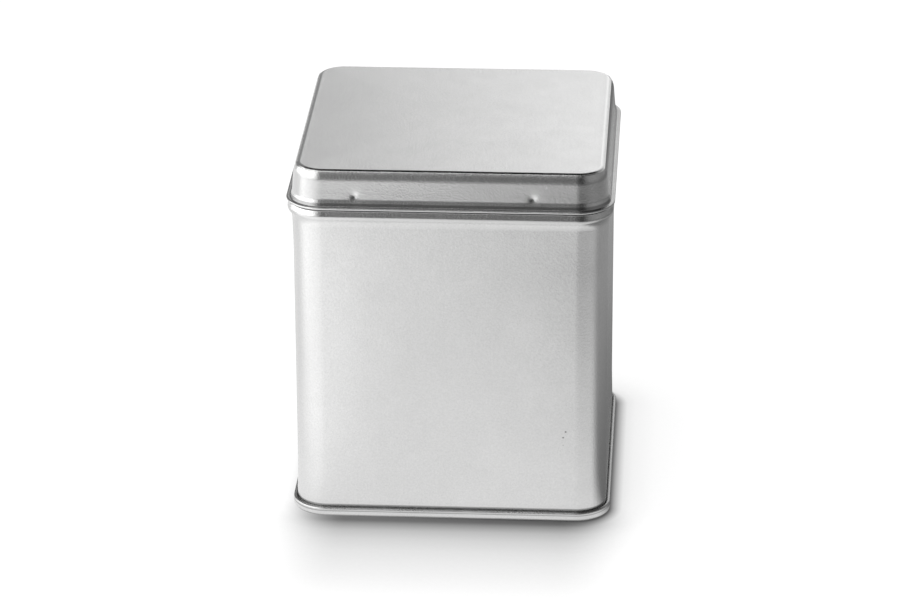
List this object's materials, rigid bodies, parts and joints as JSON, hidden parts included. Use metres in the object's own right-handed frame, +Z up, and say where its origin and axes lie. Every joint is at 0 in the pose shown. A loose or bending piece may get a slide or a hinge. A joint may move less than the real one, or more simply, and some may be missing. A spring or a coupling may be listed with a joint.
{
  "type": "spice tin",
  "caption": "Square tinplate storage tin with a seamed body, a double-seamed bottom and a raised lid that swings on a rear wire hinge.",
  "frame": {"origin": "on the plane that the bottom seam stands on, at the centre of the closed tin's outline seen from above, hinge included; the centre of the square body is at y -0.0011", "axes": "+Z up through the lid; -Y is the front, where the lid is pressed open; the hinge is at +Y, its axis along X"},
  "size_m": [0.0776, 0.0798, 0.0889],
  "materials": {
    "tinplate_body": "satin matte tinplate, fine even grain",
    "tinplate_bottom": "satin matte tinplate, scuffed along the seam",
    "tinplate_lid": "satin matte tinplate, fine even grain",
    "tinplate_hinge": "pressed tinplate with spot-weld marks",
    "steel_wire": "drawn steel wire"
  },
  "bodies": {
    "tin": {"body_shell": "tinplate_body", "bottom_end": "tinplate_bottom", "hinge_body_leaf": "tinplate_hinge", "hinge_pin": "steel_wire"},
    "lid": {"lid": "tinplate_lid", "hinge_lid_leaf": "tinplate_hinge"}
  },
  "joints": [
    {"name": "lid_hinge", "type": "hinge", "parent": "tin", "child": "lid", "pos_m": [0, 0.03895, 0.07955], "axis": [-1, 0, 0], "range_deg": [0, 180]}
  ]
}
